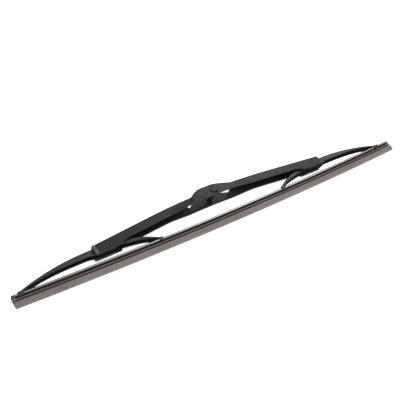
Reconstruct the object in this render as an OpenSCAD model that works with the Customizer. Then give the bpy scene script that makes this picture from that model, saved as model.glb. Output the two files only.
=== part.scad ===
// Lever-type wiper blade, lying on its side: a stamped main bracket, two
// yokes that rock on rivets in its ends, and a bowed rubber element that two
// spring-steel rails stiffen and four claws hold.
// +X runs along the blade, +Y points from the wiping edge to the spine and
// +Z is across the blade. The origin is at the middle of the arm pin.

/* [Rubber element] */
// Length of the rubber element, which the whole blade follows
rubber_length = 400; // [350:10:480]
// How far the element sits off the bracket's middle, along the blade
rubber_shift = 4.7; // [-6:0.1:6]
// Distance from each outer claw to the element's end, with the element in the middle
end_overhang = 12.5; // [10:0.5:18]
// Radius of the gentle curve that the free element takes
bow_radius = 4800; // [3000:100:9000]
// Height of the rubber, from its back to the wiping edge
rubber_height = 10.5; // [9:0.1:12]
// Width of the rubber's back above the rails
back_width = 5.8; // [5:0.1:8]
// Thickness of the back above the rails
back_thick = 0.7; // [0.5:0.05:1.2]
// Thickness of the flange under the rails
flange_thick = 0.4; // [0.3:0.05:0.8]
// Width of the web between the two rails
rail_web = 1.8; // [1.2:0.1:3]
// Width of the web in the groove that the claws reach into
groove_web = 2.6; // [2:0.1:3.6]
// Width of the shoulder under the claw groove
shoulder_width = 5.2; // [4:0.1:7]
// Height of the shoulder
shoulder_height = 1.4; // [0.8:0.1:2]
// Width of the thin neck that lets the lip tilt
neck_width = 1; // [0.7:0.1:1.6]
// Height of the neck
neck_height = 1.2; // [0.7:0.1:1.8]
// Width of the lip at its root
lip_root_width = 4.6; // [3:0.1:6]
// Thickness of the lip at the wiping edge
lip_edge = 0.7; // [0.5:0.1:1.2]
// Height of the straight strip at the wiping edge
lip_strip = 1.3; // [0.8:0.1:2]
// Chamfer on the edges of the back, the shoulder and the lip's root
rubber_chamfer = 0.3; // [0.1:0.05:0.4]

/* [Rails] */
// Overall width across the two rails
rail_span = 6.4; // [5.6:0.1:8.4]
// Thickness of a rail
rail_thick = 0.9; // [0.6:0.05:1.2]
// Distance from each end of the rubber to the end of the rails
rail_inset = 2.5; // [1:0.5:10]
// Gap between a rail and its slot in the rubber
rail_gap = 0.05; // [0.03:0.01:0.15]

/* [Main bracket] */
// Outer width of the bracket's channel
bracket_width = 11; // [10.4:0.1:13]
// Sheet thickness of the bracket
bracket_sheet = 1; // [0.8:0.1:1.2]
// Height of the spine above the rubber's back, at the middle
spine_height = 25.6; // [23:0.1:30]
// Height of the spine at the bracket's ends
spine_end_height = 17.1; // [16:0.1:20]
// Half the length of the arched middle
arch_reach = 62; // [45:1:75]
// Depth of the channel between the middle and the ends
channel_depth = 7.4; // [6:0.1:9]
// Distance from a yoke's rivet down to the lower edge of its end box
box_edge_drop = 3.8; // [3.2:0.1:4.4]
// How much higher that edge is at the inner end of the box
box_edge_rise = 0.3; // [0:0.1:1.5]
// Distance from a yoke's rivet to the bracket's end
box_overhang = 5.4; // [4.5:0.1:6]
// Length of an end box along its lower edge
box_length = 21.5; // [18:0.5:26]
// Length of the rounded step from the box up to the channel's edge
box_step = 9; // [6:0.5:12]
// Radius inside the bends of the bracket and the yokes
bend_inside = 0.4; // [0.2:0.1:0.8]

/* [Arm mounting] */
// Distance from the spine's top down to the arm pin
pin_drop = 2.8; // [2:0.1:4]
// Distance of the arm pin from the bracket's middle
pin_offset = 1.7; // [-4:0.1:4]
// Diameter of the arm pin
pin_d = 4.8; // [4:0.1:5.4]
// Diameter of the arm pin's heads
pin_head_d = 6.4; // [5.8:0.1:7.6]
// Height of the arm pin's heads
pin_head_h = 0.6; // [0.4:0.1:1]
// How far each cheek stands out beyond the channel's side
cheek_joggle = 2.5; // [1.2:0.1:3]
// Half the length over which the cheeks stand at their full width
cheek_reach = 14; // [12:0.5:18]
// Length of the bend from the channel's width out to the cheeks
cheek_ramp = 9.3; // [6:0.1:12]
// How far the lower edge dips below the channel's edge between the cheeks
cheek_drop = 1.3; // [0.5:0.1:2.4]
// Half the length of that dip
drop_reach = 22; // [18:0.5:28]
// Length of the slope at each end of the dip
drop_ramp = 26; // [12:0.5:30]
// Height of the cheeks' crest above the spine
crest_rise = 2.7; // [1.5:0.1:3.6]
// Distance of the crest's middle from the bracket's middle
crest_offset = -3; // [-4:0.1:4]
// Half the length of the level part of the crest
crest_flat = 5.6; // [4:0.1:8]
// Length of the crest's left slope
crest_left = 17.4; // [12:0.1:20]
// Length of the crest's right slope
crest_right = 26; // [16:0.1:28]

/* [Yokes] */
// Distance from a yoke's rivet to its outer claw
outer_arm = 74.5; // [60:0.5:84]
// Distance from a yoke's rivet to its inner claw
inner_arm = 47.5; // [40:0.5:52]
// Length of an outer claw along the blade
outer_claw_length = 4.5; // [3:0.5:7]
// Length of an inner claw along the blade
inner_claw_length = 3; // [2.5:0.5:6]
// Sheet thickness of a yoke
yoke_sheet = 0.9; // [0.7:0.05:1]
// Outer width of a yoke's channel
yoke_width = 6; // [5.4:0.1:6.4]
// Gap between a yoke's crown and the underside of the bracket's spine at its end
crown_gap = 0.6; // [0.4:0.1:1]
// Distance from a yoke's crown down to its rivet
rivet_drop = 3.9; // [3:0.1:4.4]
// Depth of a yoke's channel beside its rivet
yoke_depth = 5.7; // [5.4:0.1:6.2]
// Extra depth of the channel at the rivet
yoke_skirt = 2.2; // [0:0.1:2.4]
// Half the length over which the extra depth runs out
skirt_reach = 15; // [12:0.5:18]
// Depth of a yoke's channel at its claws
yoke_end_depth = 2; // [1.8:0.1:3]
// Distance from the rivet to where the depth begins to shrink
yoke_taper_start = 12; // [6:1:20]
// Distance from the rivet out to where the outer arm's top begins to fall
outer_top_start = 11; // [6:0.5:14]
// How far an arm's top stands above the claw that it ends in
arm_rise = 0.6; // [0.4:0.05:0.9]
// Gap between a claw and the rails and rubber that it holds
claw_gap = 0.12; // [0.08:0.01:0.25]

/* [Yoke rivets] */
// Diameter of a yoke rivet
rivet_d = 2.6; // [2.2:0.1:3.2]
// Diameter of a yoke rivet's heads
rivet_head_d = 4; // [3.6:0.1:5]
// Height of a yoke rivet's heads
rivet_head_h = 0.3; // [0.2:0.1:0.6]
// Radial gap between a rivet and the yoke that turns on it
rivet_gap = 0.05; // [0.03:0.01:0.09]

/* [Liners] */
// How far the left liner's collar stands out of its box
left_collar = 2.8; // [0.5:0.1:4]
// How far the right liner's collar stands out of its box
right_collar = 0.5; // [0.3:0.1:4]
// Length of the collar's rim
collar_rim = 1.4; // [0.8:0.1:2]
// Depth of the groove between the rim and the box
collar_groove = 0.35; // [0.2:0.05:0.5]
// Room above the yoke's crown in the collar
liner_room = 0.85; // [0.7:0.05:1]
// Gap between the liner and the bracket
liner_gap = 0.05; // [0.03:0.01:0.1]
// Gap between the liner's cheeks and the yoke
yoke_gap = 0.15; // [0.1:0.01:0.25]
// Distance from a yoke's rivet to the liner's inner end
liner_reach = 9.6; // [6:0.1:12]

/* [Hidden] */
$fn = 48;
// A cut runs this far past the face that it opens
past = 1;
// Joined pieces of one sheet run this far into each other
lap = 0.5;
// A straight run of a channel starts this far inside the arc before it
seam = 0.02;
// Seat gap of parts of one body that are fixed together
seat = 0.02;

// Facets of a full turn for the long, flat arcs
arc_facets = 3600;
profile_step = 2;
bend_steps = 5;

// Rubber section, as heights below its back
slot_top = -back_thick;
slot_floor = slot_top - rail_thick - 2 * rail_gap;
flange_floor = slot_floor - flange_thick;
groove_height = yoke_sheet + 3 * claw_gap;
shoulder_top = flange_floor - groove_height;
shoulder_floor = shoulder_top - shoulder_height;
lip_root_top = shoulder_floor - neck_height;
rubber_from = rubber_shift - rubber_length / 2;
rubber_to = rubber_shift + rubber_length / 2;

// Claw section
claw_half = rail_span / 2 + claw_gap + yoke_sheet;
claw_top = claw_gap + yoke_sheet;
lip_upper = flange_floor - claw_gap;
lip_lower = lip_upper - yoke_sheet;
lip_reach = groove_web / 2 + claw_gap;

// Places along the blade
outer_claw = rubber_length / 2 - end_overhang;
pivot_reach = outer_claw - outer_arm;
inner_claw = pivot_reach - inner_arm;
bracket_half = pivot_reach + box_overhang;
box_from = bracket_half - box_length;
window_reach = cheek_reach + cheek_ramp;

// Heights above the rubber's back
pin_height = spine_height - pin_drop;
crest_height = spine_height + crest_rise;
crown_height = spine_end_height - bracket_sheet - crown_gap;
pivot_height = crown_height - rivet_drop;
box_edge_height = pivot_height - box_edge_drop;

// The spine's arch turns so that its tangents meet the ends' height
arch_angle = 2 * atan((spine_height - spine_end_height) / (2 * bracket_half - arch_reach));
spine_radius = arch_reach / sin(arch_angle);
cheek_half = bracket_width / 2 + cheek_joggle;
cheek_width = 2 * cheek_half;

// Rise of the bowed element's back at a distance along the blade
function bow(x) = bow_radius - sqrt(pow(bow_radius, 2) - pow(x, 2));
// Fall of an arc with radius r at a distance d from its top
function arc_drop(d, r) = r - sqrt(pow(r, 2) - pow(d, 2));
// Radius of an arc that falls by h at a distance d from its top
function arc_radius(d, h) = (pow(d, 2) + pow(h, 2)) / (2 * h);
// 0 before a, 1 after b, with level ends
function ease(x, a, b) =
    let (t = max(0, min(1, (x - a) / (b - a)))) t * t * (3 - 2 * t);
function arc_points(centre, r, from, to) =
    [for (i = [0:bend_steps])
        let (a = from + (to - from) * i / bend_steps)
        [centre[0] + r * cos(a), centre[1] + r * sin(a)]];

// Height of the spine's outer face: an arc, then its tangents
function spine_y(x) = spine_height
    - arc_drop(min(abs(x), arch_reach), spine_radius)
    - max(0, abs(x) - arch_reach) * tan(arch_angle);
// Height of the lower edge: along the channel, along an end box, and overall
function run_y(x) = spine_y(x) - channel_depth
    - cheek_drop * (1 - ease(abs(x), drop_reach, drop_reach + drop_ramp));
function box_y(x) = box_edge_height + box_edge_rise * (bracket_half - abs(x)) / box_length;
function edge_y(x) =
    let (t = (abs(x) - box_from + box_step) / box_step)
    t <= 0 ? run_y(x)
    : t >= 1 ? box_y(x)
    : box_y(x) + (run_y(x) - box_y(x)) * sqrt(1 - t * t);
// Height of the cheeks over the window
function crest_y(x) =
    let (foot = spine_y(x) - bracket_sheet - bend_inside,
         slope = x < crest_offset ? crest_left : crest_right)
    crest_height + (foot - crest_height)
    * ease(abs(x - crest_offset), crest_flat, crest_flat + slope);
// Half width of the bracket's cheeks
function cheek_z(x) = cheek_half
    - cheek_joggle * ease(abs(x), cheek_reach, window_reach);

// Radii of the arms' tops, each of which ends just above its claw
function claw_drop(x) = crown_height - bow(x) - claw_top - arm_rise;
inner_top_radius = arc_radius(inner_arm, claw_drop(inner_claw));
outer_top_radius = arc_radius(outer_arm - outer_top_start, claw_drop(outer_claw));

// Heights of the top and the lower edge of the right-hand yoke
function yoke_top_y(x) = crown_height
    - (x < pivot_reach ? arc_drop(pivot_reach - x, inner_top_radius)
       : arc_drop(max(0, x - pivot_reach - outer_top_start), outer_top_radius));
function yoke_edge_y(x) =
    let (d = abs(x - pivot_reach), arm = x < pivot_reach ? inner_arm : outer_arm)
    yoke_top_y(x) - yoke_depth
    + (yoke_depth - yoke_end_depth) * ease(d, yoke_taper_start, arm)
    - yoke_skirt * (1 - ease(d, rivet_head_d, skirt_reach));

// Moves the arm pin's middle to the origin
module placed() {
    translate([-pin_offset, -pin_height, 0]) children();
}

// Puts a shape drawn at the element's middle at a distance along its bow
module on_bow(x) {
    translate([0, bow_radius, 0])
        rotate([0, 0, asin(x / bow_radius)])
            translate([0, -bow_radius, 0]) children();
}

// Sweeps a section, given as [height, side] points, along the bowed element
module bow_sweep(section, from, to) {
    first = asin(from / bow_radius);
    turn = asin(to / bow_radius) - first;
    translate([0, bow_radius, 0])
        rotate([0, 0, first - 90])
            rotate_extrude(angle = turn, $fn = arc_facets)
                polygon([for (p = section) [bow_radius - p[0], p[1]]]);
}

// Section of a bent sheet channel, as [height, side] points below its spine
function channel_section(width, sheet, depth) =
    let (r = sheet + bend_inside, c = width / 2 - r)
    concat([[-depth, width / 2]],
           arc_points([-r, c], r, 90, 0), arc_points([-r, -c], r, 0, -90),
           [[-depth, -width / 2], [-depth, sheet - width / 2]],
           arc_points([-r, -c], bend_inside, -90, 0), arc_points([-r, c], bend_inside, 0, 90),
           [[-depth, width / 2 - sheet]]);

// Sweeps a section along an arc that has its top at the origin
module arc_run(section, radius, from, to) {
    translate([0, -radius, 0])
        rotate([0, 0, 90 - to])
            rotate_extrude(angle = to - from, $fn = arc_facets)
                polygon([for (p = section) [radius + p[0], p[1]]]);
}

// Sweeps a section along X from the origin
module straight_run(section, length) {
    rotate([90, 0, 90]) linear_extrude(height = length) polygon(section);
}

// The plan outline of the cheeks as a prism, drawn in from its sides
module cheek_plan(inset) {
    reach = window_reach + lap;
    xs = concat([-reach], [for (x = [-window_reach:profile_step / 2:window_reach]) x], [reach]);
    rotate([-90, 0, 0])
        linear_extrude(height = 4 * spine_height, center = true)
            polygon(concat([for (x = xs) [x, cheek_z(x) - inset]],
                           [for (i = [len(xs) - 1:-1:0]) [xs[i], inset - cheek_z(xs[i])]]));
}

module across(x, y, d, h) {
    translate([x, y, 0]) cylinder(d = d, h = h, center = true);
}

// Main bracket
module main_bracket() {
    color("dimgray") placed() difference() {
        intersection() {
            union() {
                spine_channel();
                cheeks();
            }
            bracket_outline();
        }
        across(pin_offset, pin_height, pin_d + 2 * seat, 2 * cheek_width);
        for (side = [-1, 1])
            across(side * pivot_reach, pivot_height, rivet_d + 2 * seat, 2 * cheek_width);
    }
}

// The channel, bent along the spine, with its window at the arm pin
module spine_channel() {
    difference() {
        for (side = [0, 1]) mirror([side, 0, 0]) half_channel();
        cube([2 * window_reach, 4 * spine_height, 2 * cheek_width], center = true);
    }
}

module half_channel() {
    section = channel_section(bracket_width, bracket_sheet, spine_height);
    translate([0, spine_height, 0]) arc_run(section, spine_radius, -arch_angle, 0);
    translate([-arch_reach, spine_y(arch_reach), 0])
        rotate([0, 0, arch_angle])
            translate([-bracket_half, 0, 0]) straight_run(section, bracket_half + seam);
}

// The two cheeks beside the window, joggled out to their full width
module cheeks() {
    reach = window_reach + lap;
    xs = concat([for (x = [-reach:profile_step / 2:reach]) x], [reach]);
    intersection() {
        difference() {
            cheek_plan(0);
            cheek_plan(bracket_sheet);
        }
        linear_extrude(height = 2 * cheek_width, center = true)
            polygon(concat([for (x = xs) [x, crest_y(x)]],
                           [[reach, 0], [-reach, 0]]));
    }
}

// Side outline: the ends, the lower edge and the end boxes, open upwards
module bracket_outline() {
    step_turns = [for (a = [90:-15:15]) box_step * (1 - sin(a))];
    half = concat([bracket_half], [for (d = step_turns) box_from - d],
                  [for (x = [box_from - box_step:-profile_step:0]) x]);
    xs = concat([for (x = half) -x], [for (i = [len(half) - 1:-1:0]) half[i]]);
    linear_extrude(height = 2 * cheek_width, center = true)
        polygon(concat([for (x = xs) [x, edge_y(x)]],
                       [[bracket_half, crest_height + past], [-bracket_half, crest_height + past]]));
}

// The pin that the wiper arm's clip snaps onto
module arm_pin() {
    color("slategray") placed() headed_pin(pin_offset, pin_height, pin_d, pin_head_d,
                                           pin_head_h, cheek_width);
}

module headed_pin(x, y, d, head_d, head_h, grip) {
    translate([x, y, 0]) {
        cylinder(d = d, h = grip, center = true);
        for (side = [-1, 1])
            scale([1, 1, side])
                translate([0, 0, grip / 2])
                    rivet_head(head_d, head_h);
    }
}

// A low head with a rounded rim
module rivet_head(d, h) {
    r = d / 2 - h;
    rotate_extrude()
        polygon(concat([[0, 0]], [for (a = [0:15:90]) [r + h * cos(a), h * sin(a)]], [[0, h]]));
}

// Yokes: the right-hand one, and its mirror image
module yoke() {
    difference() {
        union() {
            intersection() {
                yoke_channel();
                yoke_outline();
            }
            on_bow(inner_claw) claw_block(inner_claw_length);
            on_bow(outer_claw) claw_block(outer_claw_length);
        }
        on_bow(inner_claw) claw_bore(inner_claw_length);
        on_bow(outer_claw) claw_bore(outer_claw_length);
        across(pivot_reach, pivot_height, rivet_d + 2 * rivet_gap, 2 * yoke_width);
    }
}

// The bent channel: inner arm, crown and outer arm
module yoke_channel() {
    section = channel_section(yoke_width, yoke_sheet, crown_height);
    inner_turn = asin((inner_arm + past) / inner_top_radius);
    outer_turn = asin((outer_arm - outer_top_start + past) / outer_top_radius);
    translate([pivot_reach, crown_height, 0]) {
        arc_run(section, inner_top_radius, -inner_turn, 0);
        translate([-seam, 0, 0]) straight_run(section, outer_top_start + 2 * seam);
        translate([outer_top_start, 0, 0]) arc_run(section, outer_top_radius, 0, outer_turn);
    }
}

// Side outline of the arms, open upwards
module yoke_outline() {
    xs = concat([for (x = [inner_claw:profile_step:outer_claw - profile_step / 2]) x], [outer_claw]);
    linear_extrude(height = 2 * yoke_width, center = true)
        polygon(concat([for (x = xs) [x, yoke_edge_y(x)]],
                       [[outer_claw, crown_height + past], [inner_claw, crown_height + past]]));
}

// Outside of a claw: a low box with bent corners
module claw_block(length) {
    r = yoke_sheet + bend_inside;
    z = claw_half - r;
    rotate([90, 0, 90])
        linear_extrude(height = length, center = true)
            polygon(concat(arc_points([claw_top - r, z], r, 90, 0),
                           arc_points([claw_top - r, -z], r, 0, -90),
                           arc_points([lip_lower + r, -z], r, -90, -180),
                           arc_points([lip_lower + r, z], r, 180, 90)));
}

// Inside of a claw: room for the rails, and the slot between its lips
module claw_bore(length) {
    inner = claw_half - yoke_sheet;
    rotate([90, 0, 90])
        linear_extrude(height = length + 2 * past, center = true)
            polygon([[claw_gap, -inner], [claw_gap, inner], [lip_upper, inner],
                     [lip_upper, lip_reach], [lip_lower - past, lip_reach],
                     [lip_lower - past, -lip_reach], [lip_upper, -lip_reach],
                     [lip_upper, -inner]]);
}

module yoke_right() {
    color("gray") placed() yoke();
}

module yoke_left() {
    color("gray") placed() mirror([1, 0, 0]) yoke();
}

module yoke_rivet_right() {
    color("slategray") placed()
        headed_pin(pivot_reach, pivot_height, rivet_d, rivet_head_d, rivet_head_h, bracket_width);
}

module yoke_rivet_left() {
    color("slategray") placed()
        headed_pin(-pivot_reach, pivot_height, rivet_d, rivet_head_d, rivet_head_h, bracket_width);
}

// Plastic liners between the yokes and the end boxes, each with its collar outside
module liner(collar) {
    body_half = bracket_width / 2 - bracket_sheet - liner_gap;
    from = pivot_reach - liner_reach;
    collar_from = bracket_half + liner_gap;
    to = collar_from + collar;
    rim_from = max(collar_from, to - collar_rim);
    under = bracket_sheet + bend_inside;
    difference() {
        union() {
            liner_slab(from, to, body_half, under);
            liner_slab(collar_from, to, bracket_width / 2 - collar_groove, collar_groove);
            liner_slab(rim_from, to, bracket_width / 2, 0);
        }
        translate([(from + to) / 2, 0, 0])
            cube([to - from + 2 * past, 2 * (crown_height + liner_room),
                  yoke_width + 2 * yoke_gap], center = true);
        translate([from - past, crown_height, -bracket_width])
            cube([collar_from - from + past, spine_height, 2 * bracket_width]);
        across(pivot_reach, pivot_height, rivet_d + 2 * seat, 2 * bracket_width);
    }
}

// A slab of the liner, with its top a distance below the spine's line
module liner_slab(from, to, half, below) {
    linear_extrude(height = 2 * half, center = true)
        polygon([[from, spine_y(from) - below], [to, spine_y(to) - below],
                 [to, box_edge_height], [from, box_y(min(from, bracket_half))]]);
}

module liner_right() {
    color("black") placed() liner(right_collar);
}

module liner_left() {
    color("black") placed() mirror([1, 0, 0]) liner(left_collar);
}

// The rubber element, as one swept section
module wiper_rubber() {
    c = rubber_chamfer;
    back = back_width / 2;
    shoulder = shoulder_width / 2;
    root = lip_root_width / 2;
    half = [
        [0, back - c], [-c, back], [slot_top, back],
        [slot_top, rail_web / 2], [slot_floor, rail_web / 2],
        [slot_floor, back], [flange_floor, back - c / 2],
        [flange_floor, groove_web / 2], [shoulder_top, groove_web / 2],
        [shoulder_top, shoulder - c], [shoulder_top - c, shoulder],
        [shoulder_floor + c, shoulder], [shoulder_floor, shoulder - c],
        [shoulder_floor, neck_width / 2], [lip_root_top, neck_width / 2],
        [lip_root_top, root - c], [lip_root_top - c, root],
        [lip_strip - rubber_height, lip_edge / 2 + c / 2], [-rubber_height, lip_edge / 2]];
    color("rosybrown") placed()
        bow_sweep(concat(half, [for (i = [len(half) - 1:-1:0]) [half[i][0], -half[i][1]]]),
                  rubber_from, rubber_to);
}

// The two spring-steel rails in the rubber's side slots
module rail(side) {
    inner = rail_web / 2 + rail_gap;
    outer = rail_span / 2;
    top = slot_top - rail_gap;
    bow_sweep([[top, side * inner], [top, side * outer],
               [top - rail_thick, side * outer], [top - rail_thick, side * inner]],
              rubber_from + rail_inset, rubber_to - rail_inset);
}

module rail_upper() {
    color("silver") placed() rail(1);
}

module rail_lower() {
    color("silver") placed() rail(-1);
}

main_bracket();
arm_pin();
yoke_left();
yoke_right();
yoke_rivet_left();
yoke_rivet_right();
liner_left();
liner_right();
wiper_rubber();
rail_upper();
rail_lower();
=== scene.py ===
import math

import bmesh
import bpy
from mathutils import Matrix, Vector


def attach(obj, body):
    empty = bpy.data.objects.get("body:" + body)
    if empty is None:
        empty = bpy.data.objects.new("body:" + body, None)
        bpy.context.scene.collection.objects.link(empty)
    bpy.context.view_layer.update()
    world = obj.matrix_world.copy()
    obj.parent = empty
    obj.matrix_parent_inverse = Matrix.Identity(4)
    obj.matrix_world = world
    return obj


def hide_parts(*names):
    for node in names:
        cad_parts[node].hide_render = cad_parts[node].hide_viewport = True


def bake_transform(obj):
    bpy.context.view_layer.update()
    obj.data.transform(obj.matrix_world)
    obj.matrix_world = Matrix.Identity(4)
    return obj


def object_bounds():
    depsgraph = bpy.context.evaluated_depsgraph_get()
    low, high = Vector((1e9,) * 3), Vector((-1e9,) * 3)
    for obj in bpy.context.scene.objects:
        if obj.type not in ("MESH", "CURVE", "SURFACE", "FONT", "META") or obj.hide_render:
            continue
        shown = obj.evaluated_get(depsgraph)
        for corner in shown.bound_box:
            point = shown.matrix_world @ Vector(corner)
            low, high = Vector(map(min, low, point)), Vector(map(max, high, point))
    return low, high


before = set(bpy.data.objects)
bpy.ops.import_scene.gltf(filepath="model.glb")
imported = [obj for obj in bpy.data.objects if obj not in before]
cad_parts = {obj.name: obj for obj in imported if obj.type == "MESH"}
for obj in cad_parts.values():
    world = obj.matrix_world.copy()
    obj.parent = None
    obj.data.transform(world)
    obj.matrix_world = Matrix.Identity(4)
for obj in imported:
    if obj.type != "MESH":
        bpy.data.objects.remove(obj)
cad_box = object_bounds()
MM = 0.001

# Camera: the photograph's viewing angle, roll, distance and lens
CAMERA_AZIMUTH = math.radians(-46.565)
CAMERA_ELEVATION = math.radians(47.844)
CAMERA_ROLL = math.radians(16.343)
CAMERA_TARGET = Vector((-12.60, -0.55, 0)) * MM
CAMERA_DISTANCE = 651.9 * MM
CAMERA_LENS_MM = 67.67
CAMERA_SENSOR_MM = 36
CAMERA_NEAR = 0.01
CAMERA_FAR = 50

# Light: how bright the world is for matt surfaces, and the floor, which glows for the camera only
WORLD_LEVEL = 0.45
FLOOR_GLOW = 0.8
FLOOR_TONE = 0.88
FLOOR_HALF = 12
FLOOR_GAP = 0.2 * MM

# Socket numbers of a Mix node that mixes colours
MIX_FACTOR = 0
MIX_FIRST = 6
MIX_SECOND = 7
MIX_RESULT = 2

# Place of the arm pin, which is the origin (mm)
PIN_HEIGHT = 22.8
PIN_OFFSET = 1.7

# Points of a new mesh that are closer than this are one (mm)
SEAM_MERGE = 0.001

# The rubber element, in the part's own sizes (mm, heights from its back)
BOW_RADIUS = 4800
RUBBER_FROM = -195.3
RUBBER_TO = 204.7
RUBBER_SPLIT = 0
RUBBER_ENDS = ((-1, "left", RUBBER_FROM), (1, "right", RUBBER_TO))
RUBBER_FLOOR = -10.48
SEGMENT_LENGTH = 1.25
SECTION_CORNER = 0.15
CORNER_SHARE = 0.4
CORNER_STEPS = 3
BACK_HALF = 2.9
SLOT_TOP = -0.7
SLOT_FLOOR = -1.7
FLANGE_FLOOR = -2.1
FLANGE_HALF = 2.7
RAIL_WEB_HALF = 0.9
GROOVE_WEB_HALF = 1.3
SHOULDER_TOP = -3.36
SHOULDER_TOP_HALF = 2.1
SHOULDER_BREAK = -3.76
SHOULDER_FLOOR = -4.76
SHOULDER_HALF = 2.6
NECK_HALF = 0.5
LIP_ROOT_TOP = -5.96
LIP_ROOT_FLOOR = -6.46
LIP_ROOT_HALF = 2.3
LIP_BREAK = -9.2
LIP_BREAK_HALF = 0.5
LIP_EDGE_HALF = 0.35
RAIL_HALF_SPAN = 3.2
RAIL_INNER = 0.95
RAIL_TOP = -0.75
RAIL_FLOOR = -1.65
RAIL_INSET = 2.5

# The stamped bracket (mm, heights above the rubber's back)
BRACKET_HALF = 118.4
SIDE_HALF = 5.5
SHEET = 1.0
SHEET_ROUNDING = 0.16
BEND = 1.4
SPINE_HEIGHT = 25.6
ARCH_REACH = 62
ARCH_FALL = 8.5
ARCH_ANGLE = 2 * math.atan(ARCH_FALL / (2 * BRACKET_HALF - ARCH_REACH))
SPINE_RADIUS = ARCH_REACH / math.sin(ARCH_ANGLE)
CHANNEL_DEPTH = 8.35
CHEEK_DROP = 0.15
CHEEK_JOGGLE = 2.5
CHEEK_REACH = 16
CHEEK_TAPER = 0.1
WINDOW_LEFT = 23.0
WINDOW_RIGHT = 24.8
WINDOW_JOGGLE = 2.0
CORNER_RISE = 0.8
FLARE_FROM = 21
FLARE_TO = 48
BOX_FROM = 96.9
BOX_STEP = 9
BOX_EDGE = 7.8
BOX_EDGE_RISE = 0.3

# The cheeks' crests; the far one peaks a little further to the right (mm)
CREST_HEIGHT = 28.3
CREST_MIDDLE = -3
CREST_FAR_MIDDLE = -1
CREST_FLAT = 5.6
CREST_LEFT = 12.9
CREST_LEFT_POWER = 1.85
CREST_RIGHT = 17
CREST_FAR_RIGHT = 18.5
CREST_RIGHT_POWER = 1.3
CREST_FOOT = 23.2

# How finely the bracket's sheet is divided (mm, or a number of steps)
BOX_SPACING = 1.5
BOX_STEP_STATIONS = 15
CHANNEL_SPACING = 2
CHEEK_SPACING = 0.8
WINDOW_MARGIN = 3
WINDOW_LEADS = (0.6, 0.3)
JOGGLE_STATIONS = 8
WALL_ROWS = 10
BEND_STEPS = 5
SPINE_LINE = 2

# The yokes and the liners keep their CAD shapes, with cleaned faces and rounded edges (mm)
YOKE_ROUNDING = 0.12
LINER_ROUNDING = 0.15
WELD_DISTANCE = 0.002
FLAT_WITHIN_DEGREES = 0.6

# The arm pin and the yokes' rivets (mm)
TURN_STEPS = 40
PIN_D = 4.8
PIN_HEAD_D = 6.6
PIN_HEAD_RISE = 0.6
# A near-black ring round each of the pin's heads, shifted down so that it shows below the head: a painted
# shadow (mm)
SHADOW_RING_D = 7.8
SHADOW_RING_DROP = 0.75
SHADOW_RING_PROUD = 0.06
SHADOW_RING_SUNK = 0.05
SHADOW_RING_BEVEL = 0.2
PIVOT_REACH = 113
PIVOT_HEIGHT = 11.6
RIVET_D = 2.6
RIVET_HEAD_D = 3.1
RIVET_RISE = 0.12

# Points of a domed head, as shares of its radius and of its rise
HEAD_DOME = ((0, 1), (0.6, 0.97), (0.88, 0.8), (1, 0.6))


def new_object(name, data):
    """Links a mesh, a lamp or a camera to the scene under a plain name."""
    obj = bpy.data.objects.new(name, data)
    bpy.context.scene.collection.objects.link(obj)
    return obj


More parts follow.
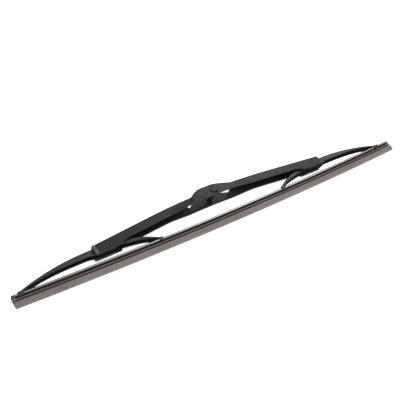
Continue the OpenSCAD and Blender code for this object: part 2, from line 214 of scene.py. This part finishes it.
class Nodes:
    """A small builder for node materials; lengths are in metres."""

    def __init__(self, name):
        self.material = bpy.data.materials.new(name)
        self.material.use_nodes = True
        self.tree = self.material.node_tree
        self.shader = self.tree.nodes["Principled BSDF"]
        self.coords = self.add("ShaderNodeTexCoord").outputs["Object"]

    def add(self, kind, **settings):
        node = self.tree.nodes.new(kind)
        for key, value in settings.items():
            setattr(node, key, value)
        return node

    def link(self, source, target):
        self.tree.links.new(source, target)

    def shade(self, name, source):
        """Links a signal to one of the shader's inputs."""
        self.link(source, self.shader.inputs[name])

    def fixed(self, name, value):
        """Gives one of the shader's inputs a fixed value."""
        self.shader.inputs[name].default_value = value

    def stretched(self, scale):
        """Object coordinates with a scale for each axis."""
        mapping = self.add("ShaderNodeMapping")
        mapping.inputs["Scale"].default_value = scale
        self.link(self.coords, mapping.inputs["Vector"])
        return mapping.outputs["Vector"]

    def noise(self, scale, detail, roughness=0.55, vector=None):
        node = self.add("ShaderNodeTexNoise")
        node.inputs["Scale"].default_value = scale
        node.inputs["Detail"].default_value = detail
        node.inputs["Roughness"].default_value = roughness
        self.link(vector or self.coords, node.inputs["Vector"])
        return node.outputs["Fac"]

    def ramp(self, factor, first, last):
        """A colour ramp between two stops; each is (position, grey or colour)."""
        node = self.add("ShaderNodeValToRGB")
        for element, (position, colour) in zip(node.color_ramp.elements, (first, last)):
            element.position = position
            if isinstance(colour, (int, float)):
                colour = (colour, colour, colour)
            element.color = (*colour, 1)
        self.link(factor, node.inputs["Fac"])
        return node.outputs["Color"]

    def mixed(self, factor, first, second, blend="MIX"):
        """Mixes two colours; each may be a socket or a plain colour."""
        node = self.add("ShaderNodeMix", data_type="RGBA", blend_type=blend)
        for value, index in ((factor, MIX_FACTOR), (first, MIX_FIRST), (second, MIX_SECOND)):
            socket = node.inputs[index]
            if isinstance(value, bpy.types.NodeSocket):
                self.link(value, socket)
            elif isinstance(value, (int, float)):
                socket.default_value = value
            else:
                socket.default_value = (*value, 1)
        return node.outputs[MIX_RESULT]

    def times(self, first, second):
        """One colour times another."""
        return self.mixed(1.0, first, second, "MULTIPLY")

    def convex_edge_mask(self, low, high):
        """1 on convex edges, 0 elsewhere."""
        pointiness = self.add("ShaderNodeNewGeometry").outputs["Pointiness"]
        return self.ramp(pointiness, (low, 0.0), (high, 1.0))

    def past_ends(self):
        """1 on the rubber's ends that stand out past the rails, 0 between them."""
        middle = (RUBBER_FROM + RUBBER_TO) / 2 - PIN_OFFSET
        reach = (RUBBER_TO - RUBBER_FROM) / 2 - RAIL_INSET
        axes = self.add("ShaderNodeSeparateXYZ")
        self.link(self.coords, axes.inputs[0])
        signal = axes.outputs["X"]
        for operation, amount in (("SUBTRACT", middle * MM), ("ABSOLUTE", 0), ("GREATER_THAN", reach * MM)):
            node = self.add("ShaderNodeMath", operation=operation)
            node.inputs[1].default_value = amount
            self.link(signal, node.inputs[0])
            signal = node.outputs[0]
        return signal

    def bump(self, height, strength, distance, after=None):
        """A bump from a height signal, on top of another bump if one is given."""
        node = self.add("ShaderNodeBump")
        node.inputs["Strength"].default_value = strength
        node.inputs["Distance"].default_value = distance
        self.link(height, node.inputs["Height"])
        if after is not None:
            self.link(after, node.inputs["Normal"])
        return node.outputs["Normal"]


def satin_paint(name, colour, roughness, wear_and_highlight, gloss_level):
    """Black satin paint on stamped sheet: fine orange peel, dull patches, dust, and paler edges that are
    partly rubbed paint and partly a painted highlight.
    """
    nodes = Nodes(name)
    patches = nodes.ramp(nodes.noise(scale=60, detail=5), (0.35, 0.82), (0.7, 1.12))
    tone = nodes.times(colour, patches)
    dust = nodes.ramp(nodes.noise(scale=900, detail=2, roughness=0.7), (0.62, 0.0), (0.8, 1.0))
    dust_share = (0.05, 0.05, 0.05)
    dust_tone = (0.12, 0.12, 0.125)
    tone = nodes.mixed(nodes.times(dust, dust_share), tone, dust_tone)
    # Paler convex edges: partly rubbed paint, partly a painted highlight along the edges
    rubbed_and_highlit = nodes.times(nodes.convex_edge_mask(low=0.53, high=0.6), (wear_and_highlight, wear_and_highlight, wear_and_highlight))
    rubbed_and_highlight_tone = (0.1, 0.1, 0.105)
    nodes.shade("Base Color", nodes.mixed(rubbed_and_highlit, tone, rubbed_and_highlight_tone))
    smoothest = (0.3, roughness - 0.06)
    roughest = (0.75, roughness + 0.08)
    nodes.shade("Roughness", nodes.ramp(nodes.noise(scale=140, detail=4), smoothest, roughest))
    peel = nodes.bump(nodes.noise(scale=2600, detail=2), strength=0.25, distance=0.00004)
    waves = nodes.noise(scale=300, detail=3)
    nodes.shade("Normal", nodes.bump(waves, strength=0.2, distance=0.0001, after=peel))
    nodes.fixed("Specular IOR Level", gloss_level)
    return nodes.material


def moulded_plastic():
    """Matt black plastic with a fine spark-eroded grain, and a painted highlight on its convex edges."""
    nodes = Nodes("liner_plastic")
    darkest = (0.3, (0.008, 0.008, 0.009))
    palest = (0.75, (0.016, 0.016, 0.017))
    tone = nodes.ramp(nodes.noise(scale=220, detail=4), darkest, palest)
    edge_highlight_tone = (0.11, 0.11, 0.112)
    # Painted highlight: the convex edges are made paler
    nodes.shade("Base Color", nodes.mixed(nodes.convex_edge_mask(low=0.52, high=0.6), tone, edge_highlight_tone))
    nodes.shade("Roughness", nodes.ramp(nodes.noise(scale=500, detail=3), (0.3, 0.5), (0.7, 0.64)))
    grain = nodes.noise(scale=3200, detail=2)
    nodes.shade("Normal", nodes.bump(grain, strength=0.35, distance=0.00005))
    return nodes.material


def extruded_rubber(name, dark, pale, end_tone=None):
    """Brownish grey rubber: lines along the extrusion, a dry, patchy bloom and, if an end tone is given,
    that tone on the ends past the rails, where the painted shade under the rails stops.
    """
    nodes = Nodes(name)
    lines = nodes.noise(scale=1.0, detail=3, roughness=0.6, vector=nodes.stretched((14, 2400, 2400)))
    bloom = nodes.noise(scale=85, detail=6, roughness=0.6, vector=nodes.stretched((0.35, 1, 1)))
    tone = nodes.ramp(bloom, (0.3, dark), (0.7, pale))
    if end_tone:
        # Past the rails the ends take the end tone; between them the darker painted shade stays
        tone = nodes.mixed(nodes.past_ends(), tone, end_tone)
    streaks = nodes.ramp(lines, (0.3, 0.86), (0.7, 1.1))
    nodes.shade("Base Color", nodes.times(tone, streaks))
    nodes.shade("Roughness", nodes.ramp(bloom, (0.3, 0.62), (0.7, 0.8)))
    fine = nodes.bump(nodes.noise(scale=3500, detail=2), strength=0.2, distance=0.00003)
    nodes.shade("Normal", nodes.bump(lines, strength=0.35, distance=0.00006, after=fine))
    nodes.fixed("Specular IOR Level", 0.35)
    return nodes.material


def spring_steel():
    """Rolled steel strip with lengthwise grain."""
    nodes = Nodes("spring_steel")
    grain = nodes.noise(scale=1.0, detail=4, roughness=0.65, vector=nodes.stretched((25, 5000, 5000)))
    darkest = (0.3, (0.22, 0.215, 0.21))
    palest = (0.7, (0.36, 0.352, 0.345))
    nodes.shade("Base Color", nodes.ramp(grain, darkest, palest))
    nodes.fixed("Metallic", 1.0)
    nodes.shade("Roughness", nodes.ramp(grain, (0.3, 0.34), (0.7, 0.48)))
    nodes.shade("Normal", nodes.bump(grain, strength=0.25, distance=0.00003))
    return nodes.material


def smooth_by_angle(obj, degrees):
    """Smooth shading that keeps the sharp edges of a mesh."""
    for polygon in obj.data.polygons:
        polygon.use_smooth = True
    obj.data.set_sharp_from_angle(angle=math.radians(degrees))


def round_edges(obj, width, degrees):
    """A small bevel (mm) on the edges that turn by more than some degrees."""
    edge = obj.modifiers.new("edge", "BEVEL")
    edge.width = width * MM
    edge.segments = 2
    edge.limit_method = "ANGLE"
    edge.angle_limit = math.radians(degrees)
    edge.use_clamp_overlap = True


def dress_node(name, material, rounding):
    """A carried-over CAD node: its own finish, and rounded sheet edges."""
    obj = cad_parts[name]
    obj.data.materials.clear()
    obj.data.materials.append(material)
    weld = obj.modifiers.new("weld", "WELD")
    weld.merge_threshold = WELD_DISTANCE * MM
    flat = obj.modifiers.new("flat", "DECIMATE")
    flat.decimate_type = "DISSOLVE"
    flat.angle_limit = math.radians(FLAT_WITHIN_DEGREES)
    round_edges(obj, rounding, degrees=50)
    smooth_by_angle(obj, degrees=30)


def placed(x, y, z):
    """A point given from the bracket's middle and the rubber's back (mm), in the part's frame."""
    return Vector((x - PIN_OFFSET, y - PIN_HEIGHT, z)) * MM


def on_bow(x, height, side):
    """A point of the bowed element, from its place along the blade and in the section (mm)."""
    turn = math.asin(x / BOW_RADIUS)
    radius = BOW_RADIUS - height
    return placed(radius * math.sin(turn), BOW_RADIUS - radius * math.cos(turn), side)


def rounded(points):
    """A closed outline with its corners rounded."""
    result = []
    for i, point in enumerate(points):
        here = Vector(point)
        before = Vector(points[i - 1]) - here
        after = Vector(points[(i + 1) % len(points)]) - here
        cut = min(SECTION_CORNER, before.length * CORNER_SHARE, after.length * CORNER_SHARE)
        start = here + before.normalized() * cut
        end = here + after.normalized() * cut
        for step in range(CORNER_STEPS + 1):
            t = step / CORNER_STEPS
            result.append(start * (1 - t) ** 2 + here * 2 * t * (1 - t) + end * t ** 2)
    return result


def mirrored(half):
    """A whole rounded outline from its (height, side) points on one side, from the top down."""
    return rounded(half + [(height, -side) for height, side in reversed(half)])


def head_section():
    """The rubber's head: its back, the slots for the rails and the web of the claws' groove."""
    return mirrored([
        (0, BACK_HALF),
        (SLOT_TOP, BACK_HALF),
        (SLOT_TOP, RAIL_WEB_HALF),
        (SLOT_FLOOR, RAIL_WEB_HALF),
        (SLOT_FLOOR, BACK_HALF),
        (FLANGE_FLOOR, FLANGE_HALF),
        (FLANGE_FLOOR, GROOVE_WEB_HALF),
        (SHOULDER_TOP, GROOVE_WEB_HALF),
    ])


def shoulder_section():
    """The shoulder that the claws pull on, with the neck below it."""
    return mirrored([
        (SHOULDER_TOP, SHOULDER_TOP_HALF),
        (SHOULDER_BREAK, SHOULDER_HALF),
        (SHOULDER_FLOOR, SHOULDER_HALF),
        (SHOULDER_FLOOR, NECK_HALF),
        (LIP_ROOT_TOP, NECK_HALF),
    ])


def lip_section():
    """The lip: its root, the taper and the straight strip at the wiping edge."""
    return mirrored([
        (LIP_ROOT_TOP, LIP_ROOT_HALF),
        (LIP_ROOT_FLOOR, LIP_ROOT_HALF),
        (LIP_BREAK, LIP_BREAK_HALF),
        (RUBBER_FLOOR, LIP_EDGE_HALF),
    ])


def rail_section(sign):
    """One rail's flat strip, on the side that the sign names."""
    return rounded([
        (RAIL_TOP, sign * RAIL_INNER),
        (RAIL_TOP, sign * RAIL_HALF_SPAN),
        (RAIL_FLOOR, sign * RAIL_HALF_SPAN),
        (RAIL_FLOOR, sign * RAIL_INNER),
    ])


def bridged(bm, first, second):
    """Adds the faces between two rows of points."""
    for i in range(len(first) - 1):
        bm.faces.new((first[i], first[i + 1], second[i + 1], second[i]))


def finished(bm, name):
    """Makes an object of a mesh that is done, with its seams closed and its faces turned the same way."""
    bmesh.ops.remove_doubles(bm, verts=bm.verts, dist=SEAM_MERGE * MM)
    bmesh.ops.recalc_face_normals(bm, faces=bm.faces)
    mesh = bpy.data.meshes.new(name)
    bm.to_mesh(mesh)
    bm.free()
    return new_object(name, mesh)


def swept(name, section, end, material):
    """Sweeps a closed (height, side) outline along the bow, from the split to one end (mm)."""
    length = end - RUBBER_SPLIT
    count = round(abs(length) / SEGMENT_LENGTH)
    bm = bmesh.new()
    rings = []
    for i in range(count + 1):
        x = RUBBER_SPLIT + length * i / count
        rings.append([bm.verts.new(on_bow(x, height, side)) for height, side in section])
    for ring, following in zip(rings, rings[1:]):
        bridged(bm, ring + ring[:1], following + following[:1])
    bm.faces.new(rings[0])
    bm.faces.new(rings[-1])
    obj = finished(bm, name)
    smooth_by_angle(obj, degrees=35)
    obj.data.materials.append(material)
    return obj


def bend_with_yoke(obj):
    """Bakes the half's placement into its mesh."""
    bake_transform(obj)


def make_rubber(head, shoulder, lip):
    """The rubber, in three pieces on each half, so that each keeps its own tone: the head and the shoulder
    are darker than the lip, painted shade.
    """
    for side, word, end in RUBBER_ENDS:
        for part, section, material in (("head", head_section(), head), ("lip", lip_section(), lip),
                                        ("shoulder", shoulder_section(), shoulder)):
            obj = swept("rubber_" + part + "_" + word + "_half", section, end, material)
            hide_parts("wiper_rubber")
            bend_with_yoke(obj)


def make_rails(material):
    """The two spring rails, each in two halves, a little shorter than the rubber."""
    for level, sign in (("upper", 1), ("lower", -1)):
        for side, word, end in RUBBER_ENDS:
            rail_end = end - side * RAIL_INSET
            obj = swept("rail_" + level + "_" + word + "_half", rail_section(sign), rail_end, material)
            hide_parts("rail_" + level)
            bend_with_yoke(obj)


def ease(x, start, end):
    """0 before start, 1 after end, with level ends."""
    t = max(0.0, min(1.0, (x - start) / (end - start)))
    return t * t * (3 - 2 * t)


def spine_y(x):
    """Height of the bracket's spine: an arc in the middle, then straight to both ends."""
    reach = min(abs(x), ARCH_REACH)
    fall = SPINE_RADIUS - math.sqrt(SPINE_RADIUS ** 2 - reach ** 2)
    return SPINE_HEIGHT - fall - max(0, abs(x) - ARCH_REACH) * math.tan(ARCH_ANGLE)


def edge_y(x):
    """Height of the bracket's lower edge, with its rounded step down to the deeper box."""
    run = spine_y(x) - CHANNEL_DEPTH - CHEEK_DROP * (1 - ease(abs(x), FLARE_FROM, FLARE_TO))
    box = BOX_EDGE + BOX_EDGE_RISE * (BRACKET_HALF - abs(x)) / (BRACKET_HALF - BOX_FROM)
    share = (abs(x) - BOX_FROM + BOX_STEP) / BOX_STEP
    if share <= 0:
        return run
    return box if share >= 1 else box + (run - box) * math.sqrt(1 - share * share)


def window_reach(x):
    """Distance from the bracket's middle to the window's end on the side of x."""
    return WINDOW_LEFT if x < 0 else WINDOW_RIGHT


def crest_y(x, side):
    """Height of a cheek's crest."""
    middle, right = (CREST_MIDDLE, CREST_RIGHT) if side > 0 else (CREST_FAR_MIDDLE, CREST_FAR_RIGHT)
    away = max(0, abs(x - middle) - CREST_FLAT)
    if x < middle:
        fall = min(1, away / CREST_LEFT) ** CREST_LEFT_POWER
    else:
        fall = min(1, away / right) ** CREST_RIGHT_POWER
    return CREST_HEIGHT - (CREST_HEIGHT - CREST_FOOT) * fall


def wall_top(x, side):
    """Height and half width of a side wall's top: under the spine's bend, or the cheek's crest."""
    foot = spine_y(x) - BEND
    if abs(x) >= window_reach(x):
        return foot, SIDE_HALF
    inside = ease(window_reach(x) - abs(x), 0, WINDOW_JOGGLE)
    width = SIDE_HALF + CHEEK_JOGGLE * (1 - CHEEK_TAPER * ease(abs(x), CHEEK_REACH, WINDOW_RIGHT))
    top = foot + (crest_y(x, side) - foot) * inside + CORNER_RISE * (1 - inside)
    return top, SIDE_HALF + (width - SIDE_HALF) * inside


def wall_points(x, side):
    """A side wall at x as (height, side) points, from its top down to the bracket's lower edge."""
    top, top_width = wall_top(x, side)
    low = edge_y(x)
    low_width = SIDE_HALF + CHEEK_JOGGLE * (1 - ease(abs(x), FLARE_FROM, FLARE_TO))
    points = []
    for row in range(WALL_ROWS + 1):
        share = row / WALL_ROWS
        width = top_width + (low_width - top_width) * ease(share, 0, 1)
        points.append((top + (low - top) * share, width))
    return points


def spine_points(x):
    """Half of the spine at x with its bend, as (height, side) points; none inside the window."""
    if abs(x) < window_reach(x):
        return []
    y = spine_y(x)
    points = [(y, 0), (y, SPINE_LINE), (y, SIDE_HALF - BEND)]
    for step in range(1, BEND_STEPS):
        angle = math.pi / 2 * step / BEND_STEPS
        points.append((y - BEND + BEND * math.cos(angle), SIDE_HALF - BEND + BEND * math.sin(angle)))
    return points


def spaced(start, end, spacing):
    """Places from start down towards end."""
    return [start - i * spacing for i in range(math.ceil((start - end) / spacing))]


def bracket_stations(window):
    """Places along one half of the bracket, closer together where its edges turn."""
    turns = [math.pi / 2 * i / BOX_STEP_STATIONS for i in range(1, BOX_STEP_STATIONS + 1)]
    stations = spaced(BRACKET_HALF, BOX_FROM, BOX_SPACING)
    stations += [BOX_FROM - BOX_STEP * (1 - math.sin(turn)) for turn in turns]
    stations += spaced(BOX_FROM - BOX_STEP - CHANNEL_SPACING, window + WINDOW_MARGIN, CHANNEL_SPACING)
    stations += [window + lead for lead in WINDOW_LEADS]
    stations += [window - WINDOW_JOGGLE * i / JOGGLE_STATIONS for i in range(JOGGLE_STATIONS + 1)]
    stations += spaced(window - WINDOW_JOGGLE - CHEEK_SPACING, 0, CHEEK_SPACING)
    return sorted(stations)


def face_out(obj):
    """Turns the sheet's faces to the outside, judged at the spine."""
    highest = max(obj.data.polygons, key=lambda face: face.center.y - abs(face.center.z))
    if highest.normal.y < 0:
        obj.data.flip_normals()


def make_bracket(outside, inside, edge):
    """The stamped bracket as one folded sheet, flared and joggled at the arm pin."""
    left = [-x for x in reversed(bracket_stations(WINDOW_LEFT))]
    bm = bmesh.new()
    for side in (1, -1):
        last_spine = []
        last_wall = []
        for x in left + [0.0] + bracket_stations(WINDOW_RIGHT):
            spine = [bm.verts.new(placed(x, y, side * z)) for y, z in spine_points(x)]
            wall = [bm.verts.new(placed(x, y, side * z)) for y, z in wall_points(x, side)]
            if last_spine and spine:
                bridged(bm, last_spine + last_wall, spine + wall)
            elif last_wall:
                bridged(bm, last_wall, wall)
            last_spine = spine
            last_wall = wall
    obj = finished(bm, "bracket_sheet")
    face_out(obj)
    for material in (outside, inside, edge):
        obj.data.materials.append(material)
    solid = obj.modifiers.new("sheet", "SOLIDIFY")
    solid.thickness = SHEET * MM
    solid.offset = -1
    solid.use_even_offset = True
    # The inside takes the second material, a retoned copy of the black paint that holds painted light and
    # shade for the channel, and the sheet's cut edge the third, a pale paint that is a painted highlight
    # along the edge
    solid.material_offset = 1
    solid.material_offset_rim = 2
    round_edges(obj, SHEET_ROUNDING, degrees=60)
    smooth_by_angle(obj, degrees=40)
    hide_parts("main_bracket")
    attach(obj, "bracket")


def turned(name, node, x, y, profile, material):
    """A pin's or rivet's piece, turned about the Z direction from (radius, side) points (mm)."""
    bm = bmesh.new()
    rings = []
    for step in range(TURN_STEPS):
        angle = 2 * math.pi * step / TURN_STEPS
        rings.append([bm.verts.new(placed(x + radius * math.cos(angle), y + radius * math.sin(angle), side))
                      for radius, side in profile])
    for ring, following in zip(rings, rings[1:] + rings[:1]):
        bridged(bm, ring, following)
    obj = finished(bm, name)
    obj.data.materials.append(material)
    smooth_by_angle(obj, degrees=30)
    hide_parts(node)
    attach(obj, "bracket")


def headed(shank, head, under, rise):
    """Outline of a shank with a low domed head at each end, from the middle of one head to the other."""
    half = [(head * out, under + rise * up) for out, up in HEAD_DOME]
    half += [(head, under), (shank, under)]
    return half + [(radius, -side) for radius, side in reversed(half)]


def make_pin(material, shade_material):
    """The arm pin, with a near-black ring below each of its heads: a painted shadow under the head."""
    cheek = SIDE_HALF + CHEEK_JOGGLE
    outline = headed(PIN_D / 2, PIN_HEAD_D / 2, cheek, PIN_HEAD_RISE)
    turned("pin_turned", "arm_pin", PIN_OFFSET, PIN_HEIGHT, outline, material)
    # Each ring is a painted shadow, set lower than the head so that it shows below the head only
    for sign, word in ((1, "near"), (-1, "far")):
        sunk = sign * (cheek - SHADOW_RING_SUNK)
        proud = sign * (cheek + SHADOW_RING_PROUD)
        ring = [(PIN_D / 2, sunk), (PIN_D / 2, proud), (SHADOW_RING_D / 2 - SHADOW_RING_BEVEL, proud),
                (SHADOW_RING_D / 2, sunk), (PIN_D / 2, sunk)]
        turned("pin_painted_shadow_" + word, "arm_pin", PIN_OFFSET, PIN_HEIGHT - SHADOW_RING_DROP, ring, shade_material)


def make_yoke_rivet(word, material):
    """A yoke's rivet, peened nearly flush with the box's sides."""
    x = PIVOT_REACH if word == "right" else -PIVOT_REACH
    outline = headed(RIVET_D / 2, RIVET_HEAD_D / 2, SIDE_HALF, RIVET_RISE)
    turned("rivet_turned_" + word, "yoke_rivet_" + word, x, PIVOT_HEIGHT, outline, material)


def strength_for(tree, socket, strength, kinds):
    """Gives a socket a strength that counts only for the named kinds of ray."""
    path = tree.nodes.new("ShaderNodeLightPath")
    signal = path.outputs[kinds[0]]
    for kind in kinds[1:]:
        either = tree.nodes.new("ShaderNodeMath")
        either.operation = "MAXIMUM"
        tree.links.new(signal, either.inputs[0])
        tree.links.new(path.outputs[kind], either.inputs[1])
        signal = either.outputs[0]
    scaled = tree.nodes.new("ShaderNodeMath")
    scaled.operation = "MULTIPLY"
    scaled.inputs[1].default_value = strength
    tree.links.new(signal, scaled.inputs[0])
    tree.links.new(scaled.outputs[0], socket)


def make_floor(level):
    """A pale floor that shows white round the object and takes a faint shadow."""
    corners = [(x * FLOOR_HALF, y * FLOOR_HALF, level) for x, y in ((-1, -1), (1, -1), (1, 1), (-1, 1))]
    mesh = bpy.data.meshes.new("floor")
    mesh.from_pydata(corners, [], [(0, 1, 2, 3)])
    floor = new_object("floor", mesh)
    material = bpy.data.materials.new("floor")
    material.use_nodes = True
    shader = material.node_tree.nodes["Principled BSDF"]
    shader.inputs["Base Color"].default_value = (FLOOR_TONE, FLOOR_TONE, FLOOR_TONE, 1)
    shader.inputs["Roughness"].default_value = 1.0
    shader.inputs["Specular IOR Level"].default_value = 0.0
    shader.inputs["Emission Color"].default_value = (1, 1, 1, 1)
    strength_for(material.node_tree, shader.inputs["Emission Strength"], FLOOR_GLOW, ("Is Camera Ray",))
    mesh.materials.append(material)


def make_world():
    """A white world: full for the camera and for reflections, and dimmer as a light."""
    world = bpy.data.worlds.new("studio")
    bpy.context.scene.world = world
    world.use_nodes = True
    tree = world.node_tree
    background = tree.nodes["Background"]
    background.inputs["Color"].default_value = (1, 1, 1, 1)
    lit = tree.nodes.new("ShaderNodeMath")
    lit.operation = "ADD"
    lit.inputs[1].default_value = WORLD_LEVEL
    strength_for(tree, lit.inputs[0], 1 - WORLD_LEVEL,
                 ("Is Camera Ray", "Is Glossy Ray", "Is Transmission Ray"))
    tree.links.new(lit.outputs[0], background.inputs["Strength"])


def make_lamp(name, azimuth, elevation, distance, size, power):
    """A soft square lamp that faces the arm pin (degrees, metres and watts)."""
    data = bpy.data.lights.new(name, "AREA")
    data.shape = "SQUARE"
    data.size = size
    data.energy = power
    lamp = new_object(name, data)
    around = math.radians(azimuth)
    up = math.radians(elevation)
    towards = Vector((math.sin(around) * math.cos(up), -math.cos(around) * math.cos(up), math.sin(up)))
    lamp.location = towards * distance
    lamp.rotation_euler = (-towards).to_track_quat("-Z", "Y").to_euler()


def make_camera():
    """The camera at the photograph's place."""
    data = bpy.data.cameras.new("camera")
    data.sensor_width = CAMERA_SENSOR_MM
    data.lens = CAMERA_LENS_MM
    data.clip_start = CAMERA_NEAR
    data.clip_end = CAMERA_FAR
    camera = new_object("camera", data)
    turn = (Matrix.Rotation(CAMERA_AZIMUTH, 4, "Z")
            @ Matrix.Rotation(math.pi / 2 - CAMERA_ELEVATION, 4, "X")
            @ Matrix.Rotation(CAMERA_ROLL, 4, "Z"))
    back = turn @ Vector((0, 0, 1))
    camera.matrix_world = Matrix.Translation(CAMERA_TARGET + back * CAMERA_DISTANCE) @ turn
    bpy.context.scene.camera = camera


# Black finishes
outside_paint = satin_paint("black_steel", (0.0135, 0.0132, 0.0145),
                            roughness=0.44, wear_and_highlight=0.3, gloss_level=0.18)
# Painted light and shade: a copy of the black paint, paler and duller, toned for how the inside of the
# channel is lit
inside_shading_paint = satin_paint("black_steel_inside_shading", (0.026, 0.026, 0.0275),
                           roughness=0.55, wear_and_highlight=0.2, gloss_level=0.17)
# Painted highlight: a pale paint on the sheet's cut edge
edge_highlight_paint = satin_paint("black_steel_edge_highlight", (0.1, 0.1, 0.102), roughness=0.5, wear_and_highlight=0.35, gloss_level=0.25)
yoke_paint = satin_paint("yoke_steel", (0.019, 0.0188, 0.02), roughness=0.44, wear_and_highlight=0.35, gloss_level=0.32)
rivet_paint = satin_paint("rivet_steel", (0.015, 0.015, 0.016), roughness=0.43, wear_and_highlight=0.3, gloss_level=0.19)
# Painted shadow: a near-black paint for the ring below each of the pin's heads
pin_shadow_paint = satin_paint("pin_painted_shadow", (0.004, 0.004, 0.0045), roughness=0.6, wear_and_highlight=0.0, gloss_level=0.04)
plastic = moulded_plastic()

# Rubber and steel finishes
# The head and the shoulder are darker copies of the lip's rubber: painted shade of the grooves by the
# rails, paler again on the ends past the rails
end_past_rails_tone = (0.2, 0.172, 0.164)
head_rubber_painted_shade = extruded_rubber("rubber_head_painted_shade", (0.02, 0.018, 0.0175), (0.045, 0.041, 0.04), end_past_rails_tone)
shoulder_rubber_painted_shade = extruded_rubber("rubber_shoulder_painted_shade", (0.1, 0.087, 0.083), (0.15, 0.131, 0.126), end_past_rails_tone)
lip_rubber = extruded_rubber("wiper_rubber", (0.215, 0.185, 0.176), (0.3, 0.26, 0.248))
strip_steel = spring_steel()

# The blade's pieces
make_bracket(outside_paint, inside_shading_paint, edge_highlight_paint)
make_pin(rivet_paint, pin_shadow_paint)
for word in ("left", "right"):
    dress_node("yoke_" + word, yoke_paint, YOKE_ROUNDING)
    make_yoke_rivet(word, rivet_paint)
    dress_node("liner_" + word, plastic, LINER_ROUNDING)
make_rubber(head_rubber_painted_shade, shoulder_rubber_painted_shade, lip_rubber)
make_rails(strip_steel)

# The studio
make_world()
make_lamp("key", azimuth=127, elevation=45, distance=0.55, size=0.25, power=1.15)
make_lamp("top", azimuth=-110, elevation=75, distance=1.3, size=1.2, power=3.5)
make_lamp("fill", azimuth=-60, elevation=60, distance=1.8, size=1.0, power=3)
make_floor(cad_box[0].z - FLOOR_GAP)
make_camera()
bpy.context.scene.view_settings.view_transform = "Standard"
